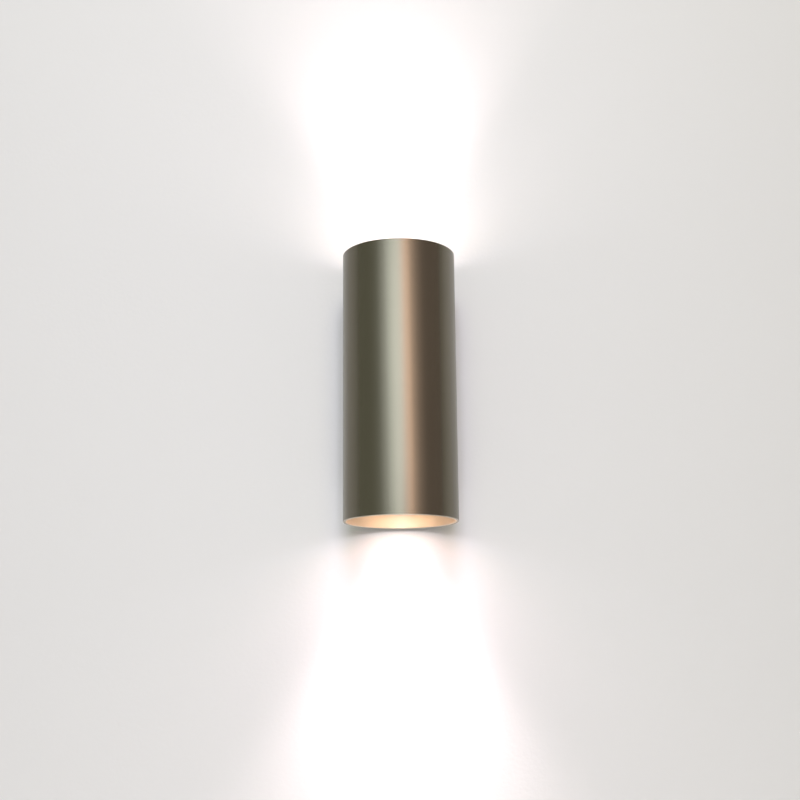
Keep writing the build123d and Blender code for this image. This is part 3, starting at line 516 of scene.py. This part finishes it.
def rib_growth():
    """Ribs round a bulb's housing: one arc-shaped rib, turned round the axis in equal steps."""
    growth = Growth("Housing ribs", {
        "Count": "Int", "Width": "Float", "Depth": "Float", "Foot Radius": "Float", "Foot Height": "Float",
        "Top Radius": "Float", "Top Height": "Float", "Bulge": "Float", "Turn": "Vector", "Axis": "Vector",
        "Material": "Material",
    })
    given = growth.given
    arc_steps = 14
    foot = growth.step("ShaderNodeCombineXYZ", X=given["Foot Radius"], Z=given["Foot Height"])[0]
    top = growth.step("ShaderNodeCombineXYZ", X=given["Top Radius"], Z=given["Top Height"])[0]
    chord = growth.vector("SUBTRACT", top, foot)
    outward = growth.vector("CROSS_PRODUCT", (0.0, 1.0, 0.0), chord)
    straight = growth.step("ShaderNodeVectorMath", {"operation": "NORMALIZE"}, _0=outward)[0]
    rise = growth.step("ShaderNodeVectorMath", {"operation": "SCALE"}, _0=straight, Scale=given["Bulge"])[0]
    both = growth.vector("ADD", foot, top)
    halfway = growth.step("ShaderNodeVectorMath", {"operation": "SCALE"}, _0=both, Scale=0.5)[0]
    middle = growth.vector("ADD", halfway, rise)
    arc = growth.step(
        "GeometryNodeCurveArc", {"mode": "POINTS"}, Resolution=arc_steps, Start=foot, Middle=middle, End=top
    )["Curve"]
    arc = growth.step("GeometryNodeSetCurveNormal", {"mode": "Z_UP"}, Curve=arc)[0]
    section = growth.step(
        "GeometryNodeCurvePrimitiveQuadrilateral", {"mode": "RECTANGLE"},
        Width=given["Width"], Height=given["Depth"],
    )[0]
    rib = growth.step("GeometryNodeCurveToMesh", Curve=arc, Profile_Curve=section, Fill_Caps=True)[0]
    places = growth.step("GeometryNodePoints", Count=given["Count"])[0]
    step_angle = growth.calc("DIVIDE", 2 * math.pi, given["Count"])
    angle = growth.calc("MULTIPLY", growth.step("GeometryNodeInputIndex")[0], step_angle)
    turn = growth.step("ShaderNodeCombineXYZ", Z=angle)[0]
    ribs = growth.step("GeometryNodeInstanceOnPoints", Points=places, Instance=rib, Rotation=turn)[0]
    placed = growth.step(
        "GeometryNodeTransform", Geometry=ribs, Rotation=given["Turn"], Translation=given["Axis"]
    )[0]
    growth.finish(placed)
    return growth


def lenslet_growth():
    """Low domes in a sunflower pattern: each lies a golden angle further round and a little further out."""
    growth = Growth("Lenslets", {
        "Count": "Int", "Pitch": "Float", "Radius": "Float", "Rise": "Float", "Centre": "Vector",
        "Material": "Material",
    })
    given = growth.given
    index = growth.step("GeometryNodeInputIndex")[0]
    first_step = 0.5  # of a dome, so that the first one is a little off the centre
    root = growth.calc("SQRT", growth.calc("ADD", index, first_step), 0.0)
    reach = growth.calc("MULTIPLY", given["Pitch"], root)
    angle = growth.calc("MULTIPLY", index, GOLDEN_ANGLE)
    spot = growth.step(
        "ShaderNodeCombineXYZ",
        X=growth.calc("MULTIPLY", reach, growth.calc("COSINE", angle, 0.0)),
        Y=growth.calc("MULTIPLY", reach, growth.calc("SINE", angle, 0.0)),
    )[0]
    spots = growth.step("GeometryNodePoints", Count=given["Count"], Position=spot)[0]
    dome = growth.step("GeometryNodeMeshIcoSphere", Radius=given["Radius"], Subdivisions=2)[0]
    squash = growth.step(
        "ShaderNodeCombineXYZ", X=1.0, Y=1.0, Z=growth.calc("DIVIDE", given["Rise"], given["Radius"])
    )[0]
    low_dome = growth.step("GeometryNodeTransform", Geometry=dome, Scale=squash)[0]
    domes = growth.step("GeometryNodeInstanceOnPoints", Points=spots, Instance=low_dome)[0]
    placed = growth.step("GeometryNodeTransform", Geometry=domes, Translation=given["Centre"])[0]
    growth.finish(placed)
    return growth


def thread_growth():
    """A helical ridge at each point, for the threads of a group of screws."""
    growth = Growth("Screw threads", {
        "Radius": "Float", "Length": "Float", "Pitch": "Float", "Ridge": "Float", "Turn": "Vector",
        "Material": "Material",
    })
    given = growth.given
    steps_per_turn, ridge_sides = 20, 4
    turns = growth.calc("DIVIDE", given["Length"], given["Pitch"])
    helix = growth.step(
        "GeometryNodeCurveSpiral", Resolution=steps_per_turn, Rotations=turns, Start_Radius=given["Radius"],
        End_Radius=given["Radius"], Height=given["Length"], Reverse=True,
    )[0]
    section = growth.step(
        "GeometryNodeCurvePrimitiveCircle", Resolution=ridge_sides, Radius=given["Ridge"]
    )[0]
    ridge = growth.step("GeometryNodeCurveToMesh", Curve=helix, Profile_Curve=section, Fill_Caps=True)[0]
    ridges = growth.step(
        "GeometryNodeInstanceOnPoints", Points=given["Geometry"], Instance=ridge, Rotation=given["Turn"]
    )[0]
    growth.finish(ridges)
    return growth


# ------------------------------------------------------------ operators: finishes
class WALLLIGHT_OT_tube(bpy.types.Operator):
    """Finish the bronze tube"""

    bl_idname = "walllight.tube"
    bl_label = "Tube"

    def execute(self, context):
        dress_slot("bronze_tube", bronze_finish(context.scene.walllight_finish))
        return {"FINISHED"}


class WALLLIGHT_OT_wall_side(bpy.types.Operator):
    """Finish the saddle, the zinc-plated sheet pieces, the grommet, and the screws and nuts"""

    bl_idname = "walllight.wall_side"
    bl_label = "Saddle, sheet pieces and screws"

    def execute(self, context):
        settings = context.scene.walllight_finish
        dress_slot("dark_bronze_paint", paint_finish(settings))
        dress_slot("zinc_plate", zinc_finish(settings))
        dress_slot("black_rubber", plastic_finish("black_rubber", (0.03, 0.03, 0.03), 0.7, speck=0.3))
        dress_slot("dark_screws", metal_finish("dark_screws", (0.13, 0.11, 0.09), 0.38, wear=0.35))
        dress_slot("plated_screws", metal_finish("plated_screws", (0.68, 0.68, 0.66), 0.28))
        return {"FINISHED"}


class WALLLIGHT_OT_wiring(bpy.types.Operator):
    """Finish the lampholders, the terminals and the leads"""

    bl_idname = "walllight.wiring"
    bl_label = "Lampholders and wiring"

    def execute(self, context):
        settings = context.scene.walllight_finish
        dress_slot("white_ceramic", ceramic_finish(settings))
        dress_slot("white_nylon", plastic_finish("white_nylon", tuple(settings.nylon), 0.4, soft=0.15))
        dress_slot("brass_contacts", metal_finish("brass_contacts", tuple(settings.brass), 0.26))
        dress_slot("tinned_copper", metal_finish("tinned_copper", (0.70, 0.68, 0.64), 0.34))
        green, yellow = (0.06, 0.30, 0.06), (0.75, 0.62, 0.05)
        dress_slot("earth_insulation", sleeve_finish("earth_insulation", green, yellow))
        dress_slot("live_insulation", sleeve_finish("live_insulation", (0.20, 0.08, 0.03)))
        dress_slot("neutral_insulation", sleeve_finish("neutral_insulation", (0.05, 0.16, 0.52)))
        return {"FINISHED"}


class WALLLIGHT_OT_bulbs(bpy.types.Operator):
    """Finish the bulbs and light their lenses"""

    bl_idname = "walllight.bulbs"
    bl_label = "Bulbs"

    def execute(self, context):
        settings = context.scene.walllight_finish
        dress_slot("bulb_white", plastic_finish("bulb_white", tuple(settings.bulb), 0.38, soft=0.1))
        dress_slot("bulb_lens", lens_finish(settings))
        dress_slot("plated_pins", metal_finish("plated_pins", (0.75, 0.75, 0.74), 0.2, wear=0.1))
        dress_slot("board_white", board_finish())
        dress_slot("driver_green", driver_finish())
        return {"FINISHED"}


# ------------------------------------------------------------ operators: repeated details
class WALLLIGHT_OT_ribs(bpy.types.Operator):
    """Grow the cooling ribs on both bulbs' housings"""

    bl_idname = "walllight.ribs"
    bl_label = "Bulb ribs"

    def execute(self, context):
        settings = context.scene.walllight_bulb
        growth = rib_growth()
        for end, side in ENDS:
            grow(f"{end}_bulb_ribs", growth, {
                "Count": settings.rib_count,
                "Width": settings.rib_width,
                "Depth": settings.rib_depth,
                "Foot Radius": settings.neck_radius,
                "Foot Height": HOUSING_LOW.z,
                "Top Radius": settings.shoulder_radius,
                "Top Height": HOUSING_HIGH.z - settings.shoulder_drop,
                "Bulge": settings.bulge,
                "Turn": (0.0 if side > 0 else math.pi, 0.0, 0.0),
                "Axis": (0.0, TUBE_AXIS_Y, 0.0),
                "Material": bpy.data.materials["bulb_white"],
            }, f"{end}_bulb")
        return {"FINISHED"}


class WALLLIGHT_OT_lenslets(bpy.types.Operator):
    """Grow the small domes on both bulbs' lenses"""

    bl_idname = "walllight.lenslets"
    bl_label = "Lenslets"

    def execute(self, context):
        settings = context.scene.walllight_lenslet
        growth = lenslet_growth()
        for end, side in ENDS:
            grow(f"{end}_bulb_lenslets", growth, {
                "Count": settings.count,
                "Pitch": settings.pitch,
                "Radius": settings.radius,
                "Rise": settings.rise,
                "Centre": (0.0, TUBE_AXIS_Y, side * LENS_HIGH.z),
                "Material": bpy.data.materials["bulb_lens"],
            }, f"{end}_bulb")
        return {"FINISHED"}


class WALLLIGHT_OT_threads(bpy.types.Operator):
    """Grow the threads of the two tube screws"""

    bl_idname = "walllight.threads"
    bl_label = "Screw threads"

    def execute(self, context):
        settings = context.scene.walllight_thread
        low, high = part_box("tube_screws")
        head_taper, head_radius = 2.5 * MM, 4 * MM
        middles = (low.z + head_radius, high.z - head_radius)
        grow("tube_screw_threads", thread_growth(), {
            "Radius": settings.radius,
            "Pitch": settings.pitch,
            "Ridge": settings.ridge,
            "Length": high.y - low.y - head_taper,
            "Turn": (math.pi / 2, 0.0, 0.0),
            "Material": bpy.data.materials["plated_screws"],
        }, "fixture", [(0.0, high.y - head_taper, z) for z in middles])
        return {"FINISHED"}


# ------------------------------------------------------------ operators: stage
def soft_box(
    name, azimuth, elevation, distance, size, radiance, colour,
    roll=0.0, lights="all", spread=180, aim_x=0.0,
):
    """A soft box that faces the light; radiance is the brightness that it has in a mirror.

    Azimuth runs from straight in front of the light towards the right; angles are in degrees, but roll.
    With lights "gloss" it shows in reflections alone, and with "matt" on matt surfaces alone.
    A spread under 180 dims it away from the point at aim_x that it faces.
    """
    turn, lift = math.radians(azimuth), math.radians(elevation)
    aim = Vector((math.sin(turn) * math.cos(lift), -math.cos(turn) * math.cos(lift), math.sin(lift)))
    data = bpy.data.lights.new(name, "AREA")
    data.shape = "RECTANGLE"
    data.size, data.size_y = size
    data.energy = radiance * math.pi * size[0] * size[1]
    data.color = colour
    if spread < 180:
        half = math.radians(spread) / 2
        data.spread = 2 * half
        data.energy *= 1 - half / math.tan(half)
    lamp = bpy.data.objects.new(name, data)
    bpy.context.scene.collection.objects.link(lamp)
    away = distance * aim
    facing = (Vector((aim_x, 0.0, 0.0)) - away).to_track_quat("-Z", "Y").to_matrix().to_4x4()
    place = Matrix.Translation(Vector((0.0, TUBE_AXIS_Y, 0.0)) + away)
    lamp.matrix_world = place @ facing @ Matrix.Rotation(roll, 4, "Z")
    lamp.visible_diffuse = lights != "gloss"
    lamp.visible_glossy = lights != "matt"


def tall_box(name, start, end, radiance, colour):
    """A tall soft box that fills the azimuths from start to end, as the tube mirrors them."""
    distance, height, elevation, roll = 1.7, 0.9, 14, math.radians(22)
    width = 2 * distance * math.tan(math.radians(end - start) / 2) * math.cos(roll)
    middle = (start + end) / 2
    soft_box(name, middle, elevation, distance, (width, height), radiance, colour, roll, lights="gloss")


def beam_lamp(name, place, aim, radius, power, spread, colour, glossy=True):
    """A disk of a bulb's light, for one part of its beam; power in watts, spread in degrees."""
    data = bpy.data.lights.new(name, "AREA")
    data.shape = "DISK"
    data.size = 2 * radius
    data.energy = power
    data.color = colour
    data.spread = math.radians(spread)
    lamp = bpy.data.objects.new(name, data)
    bpy.context.scene.collection.objects.link(lamp)
    facing = Vector(aim).to_track_quat("-Z", "Y").to_matrix().to_4x4()
    lamp.matrix_world = Matrix.Translation(place) @ facing
    lamp.visible_glossy = glossy


def bulb_light(end, side, lean, tint, settings):
    """One bulb's light: glow and middle in the bore, core, halo and wash of the beam, graze along the wall.

    The lamps stand at different heights, because a mirror shows only one of two lamps in the same place.
    """
    lens = LENS_HIGH.z
    radius = 0.93 * LENS_HIGH.x
    rim = TUBE_TOP - 1.0 * MM
    bore_power = settings.glow_strength * (math.pi * radius) ** 2
    core, bluish, wall_white = (1.0, 0.83, 0.86), (0.50, 0.68, 1.0), (1.0, 0.93, 0.92)
    straight = (0.0, 0.0, side)
    leaning = (math.sin(math.radians(lean)), 0.0, side * math.cos(math.radians(lean)))
    to_wall = (0.0, 1.0, 0.7 * side)

    def at(height, forward=0.0):
        return (0.0, TUBE_AXIS_Y - forward, side * height)

    beam_lamp(f"{end}_bore", at(lens + 0.5 * MM), straight, radius, bore_power, 180, tuple(settings.glow))
    beam_lamp(f"{end}_core", at(lens + 0.6 * MM), leaning, radius, 0.21, 72, core)
    beam_lamp(f"{end}_halo", at(lens + 0.7 * MM), leaning, radius, 0.032, 120, tint)
    beam_lamp(f"{end}_wash", at(rim), straight, radius, 0.017, 180, tint)
    beam_lamp(f"{end}_middle", at(lens + 0.9 * MM, 12 * MM), straight, 8 * MM, 0.0165, 180, bluish)
    graze_place = at(lens + 0.8 * MM, 19 * MM)
    beam_lamp(f"{end}_graze", graze_place, to_wall, 4 * MM, 0.0095, 90, wall_white, glossy=False)


def slab(name, corners, material):
    """A flat stage piece through four corners."""
    mesh = bpy.data.meshes.new(name)
    mesh.from_pydata(corners, [], [tuple(range(len(corners)))])
    mesh.materials.append(material)
    piece = bpy.data.objects.new(name, mesh)
    bpy.context.scene.collection.objects.link(piece)


def wall_material(settings):
    """Matt wall paint with a roller's stipple, painted darker in reflections as painted shade.

    Seen from behind it is left away, and it throws no shadow, so the lamps behind it light the back.
    """
    finish = Finish("wall_paint", 0.75)
    stipple = finish.noise(1 / settings.stipple, detail=2.0)
    clouds = finish.noise(1.6, detail=2.0)
    paint = finish.blend(clouds, tinted(settings.wall, 0.985), tinted(settings.wall, 1.01))
    path = finish.nodes.new("ShaderNodeLightPath").outputs
    # Painted shade: reflections see the wall at 0.8 of its colour, darker than the camera sees it.
    finish.put("Base Color", finish.blend(path["Is Glossy Ray"], paint, tinted(settings.wall, 0.8)))
    finish.relief(stipple, 0.09 * MM)
    away = finish.nodes.new("ShaderNodeBsdfTransparent")
    behind = finish.nodes.new("ShaderNodeNewGeometry").outputs["Backfacing"]
    seen_from_behind = finish.calc("MULTIPLY", path["Is Camera Ray"], behind)
    open_share = finish.calc("MAXIMUM", seen_from_behind, path["Is Shadow Ray"])
    mix = finish.nodes.new("ShaderNodeMixShader")
    finish.join(open_share, mix.inputs[0])
    finish.join(finish.shader.outputs[0], mix.inputs[1])
    finish.join(away.outputs[0], mix.inputs[2])
    finish.join(mix.outputs[0], finish.nodes["Material Output"].inputs["Surface"])
    return finish.material


def floor_material(settings):
    """Plain pale floor, very slightly uneven."""
    finish = Finish("pale_floor", 0.6)
    clouds = finish.noise(2.5, detail=3.0)
    dark, light = tinted(settings.floor, 0.97), tinted(settings.floor, 1.02)
    finish.put("Base Color", finish.blend(clouds, dark, light))
    finish.relief(finish.noise(180.0), 0.05 * MM)
    return finish.material


def room_light(settings):
    """Dim room light: olive on the left, brown on the right, and less of it on matt surfaces."""
    world = bpy.data.worlds.new("room")
    world.use_nodes = True
    bpy.context.scene.world = world
    nodes, links = world.node_tree.nodes, world.node_tree.links
    direction = nodes.new("ShaderNodeTexCoord").outputs["Generated"]
    parts = nodes.new("ShaderNodeSeparateXYZ")
    links.new(direction, parts.inputs[0])
    share = nodes.new("ShaderNodeMapRange")
    links.new(parts.outputs["X"], share.inputs["Value"])
    share.inputs["From Min"].default_value = -0.5
    share.inputs["From Max"].default_value = 0.5
    mix = nodes.new("ShaderNodeMix")
    mix.data_type = "RGBA"
    links.new(share.outputs["Result"], mix.inputs[0])
    mix.inputs[COLOUR_FIRST].default_value = (*settings.room_left, 1.0)
    mix.inputs[COLOUR_SECOND].default_value = (*settings.room_right, 1.0)
    links.new(mix.outputs[COLOUR_MIXED], nodes["Background"].inputs["Color"])
    strength = nodes.new("ShaderNodeMapRange")
    links.new(nodes.new("ShaderNodeLightPath").outputs["Is Diffuse Ray"], strength.inputs["Value"])
    strength.inputs["To Min"].default_value = 1.0
    strength.inputs["To Max"].default_value = settings.matt_share
    links.new(strength.outputs["Result"], nodes["Background"].inputs["Strength"])
    world.cycles.sampling_method = "NONE"


def light_reflections():
    """Tall boxes that only the tube's reflections show: a cool bright band, then a warm one beside it."""
    cool, warm, pale_warm = (0.81, 0.90, 1.0), (1.0, 0.70, 0.59), (1.0, 0.76, 0.68)
    tall_box("left_edge", -52, -38, 0.12, cool)
    tall_box("left_slope", -38, -25, 0.85, cool)
    tall_box("left_shoulder", -25, -13, 2.35, cool)
    tall_box("middle", -13, 6, 3.5, cool)
    tall_box("warm_edge", 6, 13, 3.25, (1.0, 0.80, 0.82))
    tall_box("warm_strip", 13, 23, 3.15, warm)
    tall_box("warm_slope", 23, 34, 0.95, pale_warm)
    tall_box("warm_end", 34, 46, 0.3, pale_warm)


def light_wall():
    """Soft keys that only matt surfaces take, from over the camera and a weak one from below."""
    bluish, greenish, warm = (0.805, 0.808, 1.0), (0.90, 1.0, 0.60), (1.0, 0.88, 0.45)
    soft_box(
        "key_middle", 0, 36, 2.1, (0.51, 0.8), 28.1, bluish, lights="matt", spread=80, aim_x=-0.12
    )
    soft_box("key_left", -12, 36, 2.1, (0.44, 0.8), 4.5, greenish, lights="matt")
    soft_box("key_right", 12, 36, 2.1, (0.44, 0.8), 5.5, warm, lights="matt")
    soft_box("key_low", 0, -50, 1.2, (0.6, 0.4), 3.6, (1.0, 0.975, 1.0), lights="matt")


def light_back():
    """Soft boxes behind the wall, which light the back of the light and graze the tube's sides."""
    soft_box("rear_left", -155, 20, 1.7, (0.6, 1.3), 3.0, (0.96, 0.98, 1.0))
    soft_box("rear_right", 140, 25, 1.8, (0.9, 1.2), 1.8, (1.0, 0.97, 0.94))
    soft_box("rear_top", 180, 60, 2.4, (1.6, 1.6), 2.4, (1.0, 1.0, 1.0))


def light_bulbs(settings):
    """Both bulbs' beams: the upper one leans a little left, and each has its own tint."""
    leans, tints = (-4.5, 0.0), ((1.0, 0.86, 0.95), (1.0, 0.66, 0.82))
    for (end, side), lean, tint in zip(ENDS, leans, tints):
        bulb_light(end, side, lean, tint, settings)


class WALLLIGHT_OT_camera(bpy.types.Operator):
    """Place the camera in front of the light, a little below it"""

    bl_idname = "walllight.camera"
    bl_label = "Camera"

    def execute(self, context):
        settings = context.scene.walllight_stage
        data = bpy.data.cameras.new("camera")
        data.lens = settings.camera_lens
        data.sensor_width = 36.0
        camera = bpy.data.objects.new("camera", data)
        context.scene.collection.objects.link(camera)
        level = Matrix.Rotation(math.pi / 2 + settings.camera_pitch, 4, "X")
        roll = Matrix.Rotation(settings.camera_roll, 4, "Z")
        camera.matrix_world = Matrix.Translation(Vector(settings.camera_place)) @ level @ roll
        context.scene.camera = camera
        return {"FINISHED"}


class WALLLIGHT_OT_stage(bpy.types.Operator):
    """Set up the wall, the floor and the lamps"""

    bl_idname = "walllight.stage"
    bl_label = "Wall, floor and lamps"

    def execute(self, context):
        settings = context.scene.walllight_stage
        low, top, wall_reach, floor_reach = settings.floor_height, 2.4, 2.2, 5.0
        wall_y = 0.4 * MM  # just behind the light's back, so that the two don't touch
        slab("wall", [
            (-wall_reach, wall_y, low), (wall_reach, wall_y, low),
            (wall_reach, wall_y, top), (-wall_reach, wall_y, top),
        ], wall_material(settings))
        slab("floor", [
            (-floor_reach, -floor_reach, low), (floor_reach, -floor_reach, low),
            (floor_reach, floor_reach, low), (-floor_reach, floor_reach, low),
        ], floor_material(settings))
        room_light(settings)
        light_reflections()
        light_wall()
        light_back()
        light_bulbs(context.scene.walllight_finish)
        context.scene.view_settings.view_transform = "Standard"
        return {"FINISHED"}


# ------------------------------------------------------------ panel and registration
STEPS = (
    WALLLIGHT_OT_camera,
    WALLLIGHT_OT_tube,
    WALLLIGHT_OT_wall_side,
    WALLLIGHT_OT_wiring,
    WALLLIGHT_OT_bulbs,
    WALLLIGHT_OT_ribs,
    WALLLIGHT_OT_lenslets,
    WALLLIGHT_OT_threads,
    WALLLIGHT_OT_stage,
)
SETTINGS = {
    "walllight_finish": FinishSettings,
    "walllight_bulb": BulbSettings,
    "walllight_lenslet": LensletSettings,
    "walllight_thread": ThreadSettings,
    "walllight_stage": StageSettings,
}


class WALLLIGHT_PT_panel(bpy.types.Panel):
    """Steps and settings of the tube wall light"""

    bl_idname = "WALLLIGHT_PT_panel"
    bl_label = "Tube wall light"
    bl_space_type = "VIEW_3D"
    bl_region_type = "UI"
    bl_category = "Wall light"

    def draw(self, context):
        for step in STEPS:
            self.layout.operator(step.bl_idname)
        for name, group in SETTINGS.items():
            box = self.layout.box()
            settings = getattr(context.scene, name)
            for key in group.__annotations__:
                box.prop(settings, key)


CLASSES = (*SETTINGS.values(), *STEPS, WALLLIGHT_PT_panel)


def register():
    """Add the classes, and the settings to the scene."""
    for cls in CLASSES:
        bpy.utils.register_class(cls)
    for name, group in SETTINGS.items():
        setattr(bpy.types.Scene, name, PointerProperty(type=group))


def unregister():
    """Take the settings and the classes away again."""
    for name in SETTINGS:
        delattr(bpy.types.Scene, name)
    for cls in reversed(CLASSES):
        bpy.utils.unregister_class(cls)


def main():
    """Register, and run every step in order."""
    register()
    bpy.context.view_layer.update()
    for step in STEPS:
        group, name = step.bl_idname.split(".")
        getattr(getattr(bpy.ops, group), name)()


if __name__ == "__main__":
    main()
